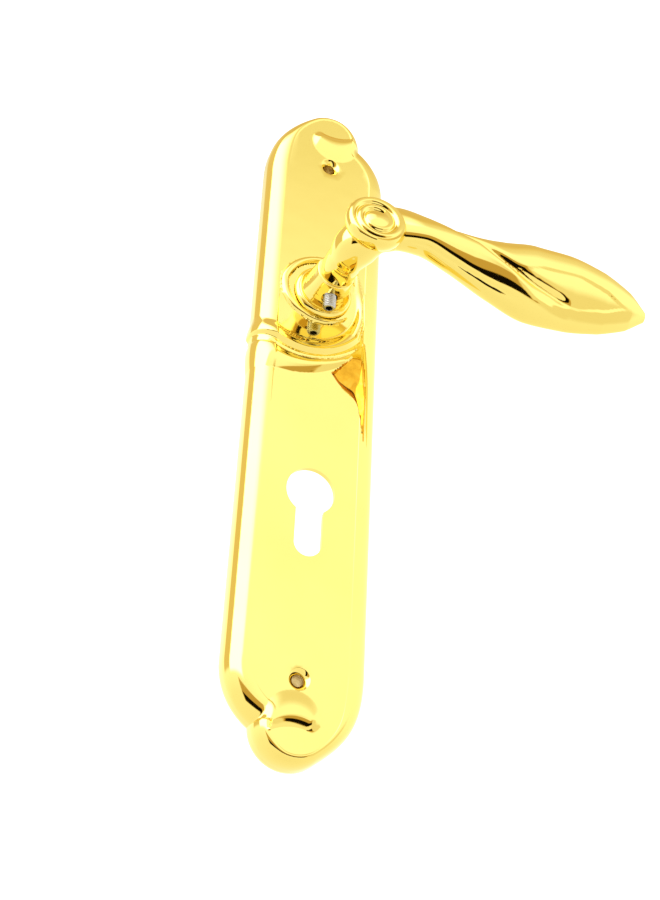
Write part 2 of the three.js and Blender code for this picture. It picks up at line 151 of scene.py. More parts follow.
def grid_faces(rows, columns, wrap=True, start=0):
    """Quads between consecutive rows of points."""
    faces = []
    last = columns if wrap else columns - 1
    for i in range(rows - 1):
        a = start + i * columns
        b = a + columns
        for j in range(last):
            k = (j + 1) % columns
            faces.append((a + j, a + k, b + k, b + j))
    return faces


def to_line(p, line):
    """Distance from each point to a polyline."""
    a, b = line[:-1], line[1:]
    ab = b - a
    length = np.maximum((ab ** 2).sum(1), 1e-12)
    best = np.full(len(p), 1e9)
    for s in range(0, len(p), 4000):
        q = p[s:s + 4000, None, :] - a[None]
        t = np.clip((q * ab[None]).sum(2) / length[None], 0, 1)
        gap = q - t[..., None] * ab[None]
        best[s:s + 4000] = np.sqrt((gap ** 2).sum(2)).min(1)
    return best


def inside(p, loop):
    """Which points lie inside a closed polygon."""
    x, y = p[:, 0], p[:, 1]
    result = np.zeros(len(p), bool)
    ends = np.roll(loop, -1, axis=0)
    for (ax, ay), (bx, by) in zip(loop, ends):
        if ay == by:
            continue
        crosses = (ay > y) != (by > y)
        result ^= crosses & (x < (bx - ax) * (y - ay) / (by - ay) + ax)
    return result


def arc(cx, cy, r, start, end, count=48):
    a = np.radians(np.linspace(start, end, count))
    return np.stack([cx + r * np.cos(a), cy + r * np.sin(a)], axis=1)


def curve(points, count=60):
    """A smooth line through a few points."""
    return catmull(np.array(points, float), np.linspace(0, 1, count))


def catmull(p, t):
    """Centripetal Catmull-Rom curve through the rows of p, at each t from 0 to 1."""
    n = len(p) - 1
    at = np.clip(t, 0, 1) * n
    i = np.minimum(at.astype(int), n - 1)
    w = (at - i)[:, None]
    padded = np.vstack([2 * p[0] - p[1], p, 2 * p[-1] - p[-2]])
    p0, p1, p2, p3 = padded[i], padded[i + 1], padded[i + 2], padded[i + 3]
    d0, d1, d2 = (np.maximum((((b - a) ** 2).sum(1) ** 0.25)[:, None], 1e-3)
                  for a, b in ((p0, p1), (p1, p2), (p2, p3)))
    m1 = ((p1 - p0) / d0 - (p2 - p0) / (d0 + d1) + (p2 - p1) / d1) * d1
    m2 = ((p2 - p1) / d1 - (p3 - p1) / (d1 + d2) + (p3 - p2) / d2) * d1
    return p1 + m1 * w + (3 * (p2 - p1) - 2 * m1 - m2) * w ** 2 + (2 * (p1 - p2) + m1 + m2) * w ** 3


def turn_half(p):
    """Plan points turned half round about the plate's centre."""
    return np.stack([-p[:, 0], 2 * CENTRE_Y - p[:, 1]], axis=1)


# ---- materials ----

class Nodes:
    """Shorthand for building a node tree."""

    def __init__(self, tree):
        self.new = tree.nodes.new
        self.link = tree.links.new

    def add(self, kind, inputs=None, **settings):
        node = self.new(kind)
        for key, value in settings.items():
            setattr(node, key, value)
        for key, value in (inputs or {}).items():
            if isinstance(value, bpy.types.NodeSocket):
                self.link(value, node.inputs[key])
            else:
                node.inputs[key].default_value = value
        return node

    def ramp(self, value, stops):
        node = self.new("ShaderNodeValToRGB")
        elements = node.color_ramp.elements
        while len(elements) < len(stops):
            elements.new(0.5)
        for element, (place, colour) in zip(elements, stops):
            element.position = place
            element.color = (*colour, 1.0)
        self.link(value, node.inputs["Fac"])
        return node.outputs["Color"]

    def math(self, operation, a, b=0.0):
        node = self.add("ShaderNodeMath", {0: a, 1: b}, operation=operation)
        return node.outputs["Value"]

    def noise(self, vector, scale, detail=4.0, roughness=0.5, distortion=0.0):
        node = self.add("ShaderNodeTexNoise", {
            "Vector": vector, "Scale": scale, "Detail": detail,
            "Roughness": roughness, "Distortion": distortion})
        return node.outputs["Fac"]

    def span(self, value, low, high, to_low=0.0, to_high=1.0):
        node = self.add("ShaderNodeMapRange", {
            "Value": value, "From Min": low, "From Max": high, "To Min": to_low, "To Max": to_high})
        node.interpolation_type = "SMOOTHSTEP"
        return node.outputs["Result"]


def new_material(name, metallic, roughness, build, **sockets):
    """A Principled material; build(nodes, place) gives its colour, roughness and bump. The plain
    roughness is for viewers that read no nodes."""
    material = bpy.data.materials.new(name)
    material.use_nodes = True
    nodes = Nodes(material.node_tree)
    shader = next(n for n in material.node_tree.nodes if n.type == "BSDF_PRINCIPLED")
    shader.inputs["Metallic"].default_value = metallic
    shader.inputs["Roughness"].default_value = roughness
    for key, value in sockets.items():
        shader.inputs[key.replace("_", " ")].default_value = value
    place = nodes.add("ShaderNodeTexCoord").outputs["Object"]
    colour, rough, height, strength, distance = build(nodes, place)
    nodes.link(colour, shader.inputs["Base Color"])
    nodes.link(rough, shader.inputs["Roughness"])
    bump = nodes.add("ShaderNodeBump", {"Height": height, "Strength": strength, "Distance": distance})
    nodes.link(bump.outputs["Normal"], shader.inputs["Normal"])
    return material


def stretched(nodes, place, x, y, z):
    node = nodes.add("ShaderNodeMapping", {"Vector": place, "Scale": (x, y, z)})
    return node.outputs["Vector"]


def polished_brass(nodes, place):
    """Mirror polish over a casting: faint colour drift, buffing lines, hairline scratches, edge haze."""
    drift = nodes.noise(place, 22.0, 3.0)
    colour = nodes.ramp(drift, [(0.3, (0.94, 0.765, 0.215)), (0.7, (0.97, 0.80, 0.245))])
    haze = nodes.noise(place, 75.0, 5.0, 0.6)
    buff = nodes.noise(stretched(nodes, place, 900, 900, 60), 1.0, 3.0)
    hazed = nodes.span(haze, 0.35, 0.75, 0.035, 0.085)
    rough = nodes.math("ADD", hazed, nodes.span(buff, 0.62, 0.8, 0.0, 0.05))
    wave = nodes.noise(place, 55.0, 2.0)
    pits = nodes.span(nodes.noise(place, 1600.0, 2.0), 0.74, 0.80, 0.0, -0.12)
    height = nodes.math("ADD", nodes.math("ADD", wave, pits), nodes.math("MULTIPLY", buff, 0.02))
    return colour, rough, height, 0.12, 0.0006


def scoop_painted_shade(nodes, place):
    """Painted shade: the scoop's darker amber reflection, laid on as colour, thicker in streaks."""
    drift = nodes.noise(place, 260.0, 4.0, 0.6, 0.4)
    colour = nodes.ramp(drift, [(0.3, (0.62, 0.30, 0.018)), (0.55, (0.80, 0.42, 0.03)),
                                (0.75, (0.88, 0.52, 0.06))])
    rough = nodes.span(drift, 0.3, 0.7, 0.05, 0.10)
    return colour, rough, nodes.noise(place, 120.0, 3.0), 0.12, 0.0004


def crease_painted_shade(nodes, place):
    """Painted shade: brown-black in the sharp bottom of a hollow, where the crease falls dark."""
    drift = nodes.noise(place, 420.0, 5.0, 0.6)
    colour = nodes.ramp(drift, [(0.3, (0.07, 0.025, 0.006)), (0.7, (0.26, 0.10, 0.015))])
    rough = nodes.span(drift, 0.3, 0.7, 0.10, 0.22)
    return colour, rough, nodes.noise(place, 900.0, 3.0), 0.12, 0.0002


def raw_brass(nodes, place):
    """The unpolished hollow: cast skin with soft grain and brown tarnish."""
    tarnish = nodes.noise(place, 60.0, 6.0, 0.65)
    colour = nodes.ramp(tarnish, [(0.3, (0.40, 0.27, 0.085)), (0.5, (0.66, 0.48, 0.17)),
                                  (0.75, (0.80, 0.62, 0.26))])
    rough = nodes.span(tarnish, 0.3, 0.7, 0.55, 0.34)
    grain = nodes.add("ShaderNodeTexVoronoi", {"Vector": place, "Scale": 900.0}).outputs["Distance"]
    height = nodes.math("ADD", grain, nodes.noise(place, 300.0, 4.0))
    return colour, rough, height, 0.35, 0.0003


def plated_steel(nodes, place):
    """Zinc plate: blue-grey with crystalline mottling and drawn lines from pressing."""
    spangle = nodes.add("ShaderNodeTexVoronoi", {"Vector": place, "Scale": 420.0}).outputs["Color"]
    tone = nodes.add("ShaderNodeSeparateColor", {"Color": spangle}).outputs["Red"]
    colour = nodes.ramp(tone, [(0.0, (0.52, 0.55, 0.58)), (1.0, (0.70, 0.71, 0.70))])
    lines = nodes.noise(stretched(nodes, place, 2600, 2600, 180), 1.0, 3.0)
    rough = nodes.span(lines, 0.3, 0.7, 0.24, 0.40)
    return colour, rough, lines, 0.10, 0.0002


def bright_steel(nodes, place):
    """Turned stainless: fine rings round the screw's length and slight handling marks."""
    rings = nodes.noise(stretched(nodes, place, 500, 500, 9000), 1.0, 2.0)
    colour = nodes.ramp(rings, [(0.3, (0.52, 0.51, 0.50)), (0.7, (0.66, 0.65, 0.63))])
    rough = nodes.span(nodes.noise(place, 800.0, 4.0), 0.3, 0.7, 0.17, 0.32)
    return colour, rough, rings, 0.08, 0.0001


def spring_steel(nodes, place):
    """Oil-blackened wire and strip: dark blue-brown film, worn lighter in patches; also painted as shade
    into the grub screw's hex socket.
    """
    film = nodes.noise(place, 350.0, 5.0, 0.6)
    colour = nodes.ramp(film, [(0.35, (0.07, 0.07, 0.08)), (0.55, (0.12, 0.11, 0.11)),
                               (0.8, (0.30, 0.28, 0.26))])
    rough = nodes.span(film, 0.3, 0.75, 0.30, 0.45)
    return colour, rough, nodes.noise(place, 2500.0, 3.0), 0.08, 0.0001


def moulded_nylon(nodes, place):
    """Off-white nylon: mould texture and a touch of yellowing."""
    tint = nodes.noise(place, 90.0, 4.0)
    colour = nodes.ramp(tint, [(0.3, (0.80, 0.77, 0.68)), (0.7, (0.90, 0.89, 0.83))])
    rough = nodes.span(nodes.noise(place, 1200.0, 3.0), 0.3, 0.7, 0.38, 0.55)
    return colour, rough, nodes.noise(place, 3000.0, 2.0), 0.15, 0.0001


def pale_plaster(nodes, place):
    """Matt off-white floor with faint trowel marks."""
    tone = nodes.noise(place, 2.5, 5.0)
    colour = nodes.ramp(tone, [(0.3, (0.84, 0.84, 0.83)), (0.7, (0.88, 0.88, 0.87))])
    rough = nodes.span(tone, 0.3, 0.7, 0.85, 0.95)
    return colour, rough, nodes.noise(place, 40.0, 4.0), 0.05, 0.002


BRASS = new_material("polished_brass", 1.0, 0.06, polished_brass)
# painted shade: the scoop's darker amber and its crease's brown-black are painted as colour
SCOOP_PAINTED_SHADE = new_material("scoop_painted_shade", 1.0, 0.07, scoop_painted_shade)
CREASE_PAINTED_SHADE = new_material("crease_painted_shade", 1.0, 0.12, crease_painted_shade)
RAW = new_material("cast_brass", 1.0, 0.45, raw_brass)
ZINC = new_material("zinc_plate", 1.0, 0.3, plated_steel)
BRIGHT = new_material("bright_steel", 1.0, 0.25, bright_steel)
SPRING_STEEL_AND_SOCKET_SHADE = new_material("spring_steel", 1.0, 0.35, spring_steel)
PLASTER = new_material("pale_plaster", 0.0, 0.9, pale_plaster)
NYLON = new_material("moulded_nylon", 0.0, 0.45, moulded_nylon,
                     Subsurface_Weight=0.1, Subsurface_Scale=0.002)


# ---- backplate ----

def bezier(a, b, c, d, t):
    """A cubic curve's point and direction at t."""
    u = 1 - t
    place = u ** 3 * a + 3 * t * u ** 2 * b + 3 * t * t * u * c + t ** 3 * d
    ahead = u ** 2 * (b - a) + 2 * t * u * (c - b) + t * t * (d - c)
    return place, ahead


def circles_meet(ax, ay, ar, bx, by, br):
    """Where two circles cross, on the right of the way from the first centre to the second."""
    spread = math.hypot(bx - ax, by - ay)
    along = (ar ** 2 - br ** 2 + spread ** 2) / (2 * spread)
    across = math.sqrt(ar ** 2 - along ** 2)
    ux, uy = (bx - ax) / spread, (by - ay) / spread
    return np.array([ax + ux * along + uy * across, ay + uy * along - ux * across])


def plate_end(step=0.45):
    """The lower plate end from the left shoulder round to the right flank, measured from the plate's
    centre: points, outward normals and the width of the rolled edge at each."""
    sx, sy, sr = SHOULDER
    fx, fy, fr = FINIAL
    cusp = circles_meet(*SHOULDER, *FINIAL)
    shoulder_end = math.atan2(cusp[1] - sy, cusp[0] - sx) % (2 * math.pi)
    finial_start = math.atan2(cusp[1] - fy, cusp[0] - fx) % (2 * math.pi)
    join = math.atan2(FLANK_JOIN[1] - fy, FLANK_JOIN[0] - fx) % (2 * math.pi)
    points, normals, widths = [], [], []

    def put(x, y, angle, width):
        points.append((x, y))
        normals.append((math.cos(angle), math.sin(angle)))
        widths.append(width)

    count = int(sr * (shoulder_end - math.pi) / step)
    for a in np.linspace(math.pi, shoulder_end, count):
        put(sx + sr * math.cos(a), sy + sr * math.sin(a), a, ROLL)
    for t in np.linspace(0, 1, 14)[1:-1]:
        angle = shoulder_end + (finial_start - shoulder_end) * t
        put(*cusp, angle, ROLL + (SIDE_ROLL - ROLL) * smooth(t))
    count = int(fr * (join - finial_start) / step)
    for a in np.linspace(finial_start, join, count):
        under = smooth((a - finial_start) / (1.45 * math.pi - finial_start))
        width = SIDE_ROLL + (RIM_ROLL - SIDE_ROLL) * under
        put(fx + fr * math.cos(a), fy + fr * math.sin(a), a, width)
    last = (fx + fr * math.cos(join), fy + fr * math.sin(join))
    knots = np.array([last, (last[0] - 12 * math.sin(join), last[1] + 12 * math.cos(join)),
                      (HALF_WIDTH, sy - 18), (HALF_WIDTH, sy)])
    for t in np.linspace(0, 1, 92)[1:]:
        place, ahead = bezier(*knots, t)
        width = RIM_ROLL + (ROLL - RIM_ROLL) * smooth(t * 1.1)
        put(place[0], place[1], math.atan2(-ahead[0], ahead[1]), width)
    return np.array(points), np.array(normals), np.array(widths)


def plate_outline():
    """The whole outline, anticlockwise: points, outward normals, widths of the rolled edge. Its
    straight sides have closer points where the ridges cross them."""
    end, normal, width = plate_end()
    low = end + (0, CENTRE_Y)
    top, bottom = CENTRE_Y - SHOULDER[1], CENTRE_Y + SHOULDER[1]
    rise = np.concatenate([np.arange(bottom + 1.5, -66, 2.0), np.arange(-66, 24, 0.5),
                           np.arange(24, top - 1, 2.0)])
    right = np.stack([np.full(len(rise), HALF_WIDTH), rise], axis=1)
    fall = np.concatenate([np.arange(top - 1.5, -8, -2.0), np.arange(-8, -44, -0.22),
                           np.arange(-44, bottom + 1, -2.0)])
    left = np.stack([np.full(len(fall), -HALF_WIDTH), fall], axis=1)
    points = np.vstack([low, right, turn_half(low), left])
    normals = np.vstack([normal, np.tile((1.0, 0.0), (len(right), 1)),
                         -normal, np.tile((-1.0, 0.0), (len(left), 1))])
    widths = np.concatenate([width, np.full(len(right), ROLL), width, np.full(len(left), ROLL)])
    return points, normals, widths


def keyhole(grow=0.0):
    """The euro-profile cut-out as a closed loop."""
    half = SLOT_HALF + grow
    r = KEYHOLE_R + grow
    meet = math.degrees(math.asin(half / r))
    slot_y = CYLINDER_Y + KEYHOLE_R - KEYHOLE_LENGTH + SLOT_HALF
    head = arc(0, CYLINDER_Y, r, -90 + meet, 270 - meet, 110)
    foot = arc(0, slot_y, half, 180, 360, 40)
    side = np.linspace(head[-1], foot[0], 14)[1:-1]
    return np.vstack([head, side, foot, side[::-1] * (-1, 1)])


def circle(x, y, r, count=72):
    return arc(x, y, r, 0, 360 * (1 - 1 / count), count)


# edges of the raised and sunk work on the plate, as lines in x and y
RIDGE_ARC = (-5, -3, 18.6)
RIDGE_WIDTH = 8.7
RIDGE_IN = np.vstack([[(-30.0, -12.5)], arc(*RIDGE_ARC, -125, 22), [(12.7, 9.0), (12.9, 15.0)]])
RIDGE_OUT = np.vstack([[(-30.0, -24.5)], arc(-5, -3, 27.3, -118, -35),
                       [(17.9, -10.0), (17.3, 4.0), (12.9, 15.0)]])
CRESCENT_IN = np.vstack([[(-30.0, -24.5)], arc(-5, -3, 27.3, -118, -52), [(13.4, -25.3)]])
CRESCENT_OUT = np.vstack([[(-30.0, -37.2)], arc(-13, -2.5, 35.6, -96, -48), [(13.4, -25.3)]])
SCOOP_LEFT = curve([(5.1, -34.5), (8.0, -38.3), (10.3, -40.4), (13.7, -42.9), (15.7, -45.6),
                    (17.1, -51.1), (18.5, -60.5)])
SCOOP_VALLEY = curve([(6.9, -33.0), (8.9, -35.7), (11.5, -37.4), (14.7, -39.2), (16.0, -42.5),
                      (17.1, -48.3), (18.5, -60.5)])
SCOOP_RIGHT = curve([(13.4, -25.6), (16.6, -25.4), (18.1, -29.5), (18.6, -36.1), (18.8, -45.2),
                     (18.7, -60.5)])
LEAF_TOP = arc(-1.5, -167.5, 9.9, -8, 186)
LEAF_CREST = arc(-0.3, -178.0, 12.2, 48, 133)
LEAF_FOOT = arc(-0.6, -186.5, 16.4, 61, 122)

# how far across the upper ridge its extra mesh lines run, closest where it drops
RIDGE_STEPS = (0.15, 0.3, 0.45, 0.56, 0.61, 0.65, 0.69, 0.73, 0.77, 0.81, 0.88)
# parts of the panel that get a finer mesh: low corner, high corner, spacing
FINE_AREAS = [((-17.5, -62), (19.5, 23), 0.42), ((-14, -186), (14, -155.5), 0.42),
              ((-14, 64.7), (14, 95), 0.42)]

# the spiral bead: its middle radius and half width against the turn in degrees
BEAD_TURN = [20, 103, 169, 200, 240, 276, 322]
BEAD_MIDDLE = [14.6, 15.0, 15.7, 14.4, 12.9, 12.9, 13.3]
BEAD_HALF = [1.4, 1.5, 1.6, 1.7, 1.6, 1.4, 1.1]


def between(p, a, b):
    """Where a point stands between edge a (0) and edge b (1), and which points stand between them."""
    held = inside(p, np.vstack([a, b[::-1]]))
    share = np.zeros(len(p))
    near = to_line(p[held], a)
    far = to_line(p[held], b)
    share[held] = near / np.maximum(near + far, 1e-6)
    return share, held


def upper_ridge(s):
    """The upper ridge across its width: a long swell, a crisp drop, then a narrow rising flute."""
    swell = np.sin(np.pi / 2 * np.clip(s / 0.58, 0, 1)) ** 1.4
    drop = 1 - smooth((s - 0.60) / 0.20)
    return swell * drop + 0.14 * np.sin(np.pi * np.clip((s - 0.74) / 0.26, 0, 1))


def lower_ridge(s):
    """The lower ridge across its width: a quick round rise and a long soft fall."""
    rise = np.sqrt(np.clip(1 - (1 - np.clip(s / 0.34, 0, 1)) ** 2, 0, 1))
    fall = np.cos(np.pi / 2 * np.clip((s - 0.34) / 0.66, 0, 1))
    return np.where(s < 0.34, rise, fall)


def end_relief(p):
    """The leaf on the lower finial: it rises to a crest and falls away in a hollow below it."""
    a = np.degrees(np.arctan2(p[:, 1] + 178.0, p[:, 0] + 0.3))
    crest = CREST_HEIGHT * smooth((a - 46) / 20)
    s, dome = between(p, LEAF_TOP, LEAF_CREST)
    h = np.where(dome, crest * np.sin(np.pi / 2 * s) ** 1.15, 0.0)
    s, drop = between(p, LEAF_CREST, LEAF_FOOT)
    return np.where(drop, crest * np.cos(np.pi / 2 * s), h)


def bead(p):
    """The spiral bead round the lever's foot; it starts behind the neck and winds in to a point."""
    r = np.hypot(p[:, 0], p[:, 1])
    a = np.degrees(np.arctan2(p[:, 1], p[:, 0])) % 360
    a = np.where(a < 20, a + 360, a)
    full = smooth((a - 24) / 50) * np.sqrt(np.clip((322 - a) / 60, 0, 1))
    half = np.interp(a, BEAD_TURN, BEAD_HALF) * full
    gap = np.abs(r - np.interp(a, BEAD_TURN, BEAD_MIDDLE)) / np.maximum(half, 1e-3)
    height = BEAD_HEIGHT * full ** 0.6
    return np.where(gap < 1, height * np.sqrt(np.clip(1 - gap ** 2, 0, 1)), 0)


def relief(p):
    """Height of the ornament above the plate's plain form."""
    h = bead(p)
    around = np.degrees(np.arctan2(p[:, 1] + 3, p[:, 0] + 5))
    s, on = between(p, RIDGE_IN, RIDGE_OUT)
    fade = 1 - smooth((around + 40) / 75)
    h += np.where(on, RIDGE_HEIGHT * upper_ridge(s) * (0.16 + 0.84 * fade), 0)
    s, on = between(p, CRESCENT_IN, CRESCENT_OUT)
    fade = np.sqrt(np.clip((-49 - around) / 30, 0, 1))
    h += np.where(on & (around < 0), LOWER_RIDGE_HEIGHT * lower_ridge(s) * fade, 0)
    depth = SCOOP_DEPTH * smooth((p[:, 1] + 62) / 28)
    s, on = between(p, SCOOP_LEFT, SCOOP_VALLEY)
    h -= np.where(on, depth * s ** 1.1, 0)
    s, on = between(p, SCOOP_VALLEY, SCOOP_RIGHT)
    h -= np.where(on, depth * (1 - smooth(s)), 0)
    return h + end_relief(p) + end_relief(turn_half(p))


def hex_fill(low, high, step):
    """Points in a triangular pattern over a box."""
    xs = np.arange(low[0], high[0], step)
    ys = np.arange(low[1], high[1], step * 0.866)
    return np.array([(x + (step / 2 if j % 2 else 0), y) for j, y in enumerate(ys) for x in xs])


def panel_mesh(border, holes, fine, creases):
    """Triangles filling the border but not the holes, with crease lines kept as edges."""
    points = [border, *holes, *creases]
    edges, start = [], 0
    for i, line in enumerate(points):
        n = len(line)
        edges += [(start + k, start + k + 1) for k in range(n - 1)]
        if i <= len(holes):
            edges.append((start + n - 1, start))
        start += n
    loops = [np.vstack([line, line[:1]]) for line in (border, *holes)]
    fill = []
    wide = hex_fill(border.min(0), border.max(0), 3.2)
    keep = np.ones(len(wide), bool)
    for low, high, step in fine:
        close = hex_fill(np.array(low), np.array(high), step)
        fill.append(close[to_any(close, [*loops, *creases]) > 0.55 * step])
        keep &= ~((wide > np.array(low) - 1).all(1) & (wide < np.array(high) + 1).all(1))
    fill.append(wide[keep & (to_any(wide, loops) > 1.2)])
    points = np.vstack([*points, *fill])
    made = delaunay_2d_cdt([Vector(p) for p in points.tolist()], edges, [], 0, 1e-5)
    flat = np.array([tuple(v) for v in made[0]])
    faces = np.array([f for f in made[2] if len(f) == 3])
    centre = flat[faces].mean(1)
    kept = inside(centre, border)
    for hole in holes:
        kept &= ~inside(centre, hole)
    used, renumbered = np.unique(faces[kept], return_inverse=True)
    return flat[used], renumbered.reshape(-1, 3)


def to_any(p, lines):
    """Distance from each point to the nearest of several polylines."""
    best = np.full(len(p), 1e9)
    for line in lines:
        best = np.minimum(best, to_line(p, line))
    return best


def wall_down(loop, tops, profile):
    """A hole's wall: rows that start on the panel at tops and follow (inset, out) pairs."""
    n = len(loop)
    ahead = np.roll(loop, -1, axis=0) - np.roll(loop, 1, axis=0)
    ahead /= np.linalg.norm(ahead, axis=1)[:, None]
    inward = np.stack([-ahead[:, 1], ahead[:, 0]], axis=1)
    rows = [np.column_stack([loop, tops])]
    for inset, out in profile:
        rows.append(np.column_stack([loop + inward * inset, np.full(n, out)]))
    return np.vstack(rows), grid_faces(len(rows), n)


def joined(pieces):
    """Several meshes' points and faces as one."""
    points, faces, start = [], [], 0
    for some, quads in pieces:
        points.append(some)
        faces += [[v + start for v in f] for f in quads]
        start += len(some)
    return np.vstack(points), faces


def outer_shell(outline, normal, width):
    """The side wall and the rolled edge, in rings from the door up to the panel."""
    n = len(outline)
    rows = []
    for out, inset in [(0.0, 0.5), (0.15, 0.15), (0.5, 0.0), (2.2, 0.0)]:
        rows.append((outline - normal * inset, np.full(n, out), np.ones(n), np.zeros(n)))
    for k in range(ROLL_STEPS + 1):
        angle = math.pi / 2 * k / ROLL_STEPS
        flat = outline - normal * (width * (1 - math.cos(angle)))[:, None]
        rows.append((flat, np.full(n, SIDE + (PANEL - SIDE) * math.sin(angle)),
                     np.full(n, math.cos(angle)), np.full(n, math.sin(angle))))
    for inset, sink in [(0.12, 0.03), (0.28, 0.09), (PANEL_STEP, PANEL_SINK)]:
        flat = outline - normal * (width + inset)[:, None]
        rows.append((flat, np.full(n, PANEL - sink), np.zeros(n), np.ones(n)))
    rings = []
    for flat, out, sideways, upright in rows:
        raised = relief(flat)
        limit = 1 - (1 - RELIEF_AT_SIDE / RIDGE_HEIGHT) * sideways
        raised = np.where(raised > 0, raised * limit, raised)
        moved = flat + normal * (raised * sideways)[:, None]
        rings.append(np.column_stack([moved, out + raised * upright]))
    return np.vstack(rings), grid_faces(len(rings), n)


def front_panel(border, holes):
    """The panel with its ornament, left open at the holes."""
    ends = [LEAF_TOP, LEAF_CREST, LEAF_FOOT]
    creases = [RIDGE_IN, RIDGE_OUT, CRESCENT_IN, CRESCENT_OUT, SCOOP_LEFT, SCOOP_VALLEY, SCOOP_RIGHT]
    x, y, r = RIDGE_ARC
    creases += [arc(x, y, r + RIDGE_WIDTH * share, -122, 6) for share in RIDGE_STEPS]
    creases += ends + [turn_half(line) for line in ends]
    creases = [clipped(dense(line), border) for line in creases]
    flat, triangles = panel_mesh(border, holes, FINE_AREAS, creases)
    raised = relief(flat)
    return np.column_stack([flat, PANEL - PANEL_SINK + raised]), triangles


def hole_walls(holes, under):
    """The walls of the keyhole, the two countersunk holes and the bush's hole."""
    face = PANEL - PANEL_SINK
    sink = SINK_R - HOLE_R
    sunk = PANEL - sink
    keyhole_loop, *fixing_loops, bush_loop = holes
    profile = [(-0.12, face - 0.05), (-0.2, face - 0.2), (-0.2, under)]
    walls = [wall_down(keyhole_loop, np.full(len(keyhole_loop), face), profile)]
    for loop in fixing_loops:
        profile = [(0.15, face - 0.06), (sink - 0.1, sunk + 0.1), (sink, sunk - 0.1), (sink, under)]
        walls.append(wall_down(loop, np.full(len(loop), face) + relief(loop), profile))
    profile = [(0.0, face - 0.4), (0.0, under)]
    walls.append(wall_down(bush_loop, np.full(len(bush_loop), face), profile))
    return walls


def hollow_back(outline, normal, width, under):
    """The hollow's wall with its rounded corner, its ceiling, and the rim that meets the door."""
    n = len(outline)
    rows = []
    for out in (0.0, 1.8):
        rows.append(np.column_stack([outline - normal * WALL, np.full(n, out)]))
    corner = np.maximum(width - WALL / 2, 2.0)
    for k in range(CORNER_STEPS + 1):
        angle = math.pi / 2 * k / CORNER_STEPS
        flat = outline - normal * (WALL + corner * (1 - math.cos(angle)))[:, None]
        rows.append(np.column_stack([flat, np.full(n, 3.7 + (under - 3.7) * math.sin(angle))]))
    border = outline - normal * (WALL + corner)[:, None]
    holes = [keyhole(0.2), circle(0, FIXING_Y[0], HOLE_R), circle(0, FIXING_Y[1], HOLE_R),
             circle(0, 0, BUSH_HOLE_R, 120)]
    flat, triangles = panel_mesh(border, holes, [], [])
    rim = np.vstack([np.column_stack([outline - normal * 0.5, np.zeros(n)]),
                     np.column_stack([outline - normal * WALL, np.zeros(n)])])
    return [(np.vstack(rows), grid_faces(len(rows), n)),
            (np.column_stack([flat, np.full(len(flat), under)]), triangles),
            (rim, grid_faces(2, n))]


def backplate():
    """The hollow backplate, polished in front and left as cast behind."""
    outline, normal, width = plate_outline()
    under = PANEL - WALL
    border = outline - normal * (width + PANEL_STEP)[:, None]
    holes = [keyhole(), circle(0, FIXING_Y[0], SINK_R), circle(0, FIXING_Y[1], SINK_R),
             circle(0, 0, BUSH_HOLE_R, 120)]
    points, faces = joined([outer_shell(outline, normal, width), front_panel(border, holes),
                            *hole_walls(holes, under), *hollow_back(outline, normal, width, under)])
    obj = make_object("backplate_brass", points, faces, BRASS, 28)
    paint_back(obj, under)
    paint_scoop_shade(obj, under)
    return obj


def dense(line, step=0.4):
    """The same line with points no further apart than step."""
    gaps = np.linalg.norm(np.diff(line, axis=0), axis=1)
    rows = [line[:1]]
    for a, b, gap in zip(line[:-1], line[1:], gaps):
        count = max(1, math.ceil(gap / step))
        rows.append(a + (b - a) * np.linspace(0, 1, count + 1)[1:, None])
    return np.vstack(rows)


def clipped(line, loop):
    """The run of a line that stays clear inside a loop."""
    closed = np.vstack([loop, loop[:1]])
    return line[inside(line, loop) & (to_line(line, closed) > 0.2)]


def paint_back(obj, under):
    """Gives the hollow side the unpolished finish."""
    obj.data.materials.append(RAW)
    for polygon in obj.data.polygons:
        if polygon.normal.y > 0.05 and -polygon.center.y < (under + 0.1) * MM:
            polygon.material_index = 1


def paint_scoop_shade(obj, under):
    """Paints shade into the scoop as colour: amber over its faces, brown-black near the bottom of its
    crease.
    """
    for finish in (SCOOP_PAINTED_SHADE, CREASE_PAINTED_SHADE):
        obj.data.materials.append(finish)
    centres = np.array([polygon.center for polygon in obj.data.polygons]) / MM
    plan = centres[:, [0, 2]]
    front = -centres[:, 1] > under + 0.05
    face = inside(plan, np.vstack([SCOOP_VALLEY, SCOOP_RIGHT[::-1]])) & front
    share, wall = between(plan, SCOOP_LEFT, SCOOP_VALLEY)
    wall &= front
    index = np.array([polygon.material_index for polygon in obj.data.polygons])
    # painted shade: amber over the scoop's faces, brown-black on the wall's half next to the valley
    index[face | wall] = 2
    index[wall & (share > 0.55)] = 3
    obj.data.polygons.foreach_set("material_index", index.astype(np.int32))


# ---- lever ----

def turned(profile, count):
    """Rows of a profile of (radius, out) pairs turned about the out axis."""
    a = np.linspace(0, 2 * np.pi, count, endpoint=False)
    rows = [np.stack([r * np.cos(a), r * np.sin(a), np.full(count, z)], axis=1) for r, z in profile]
    return np.vstack(rows), grid_faces(len(rows), count)


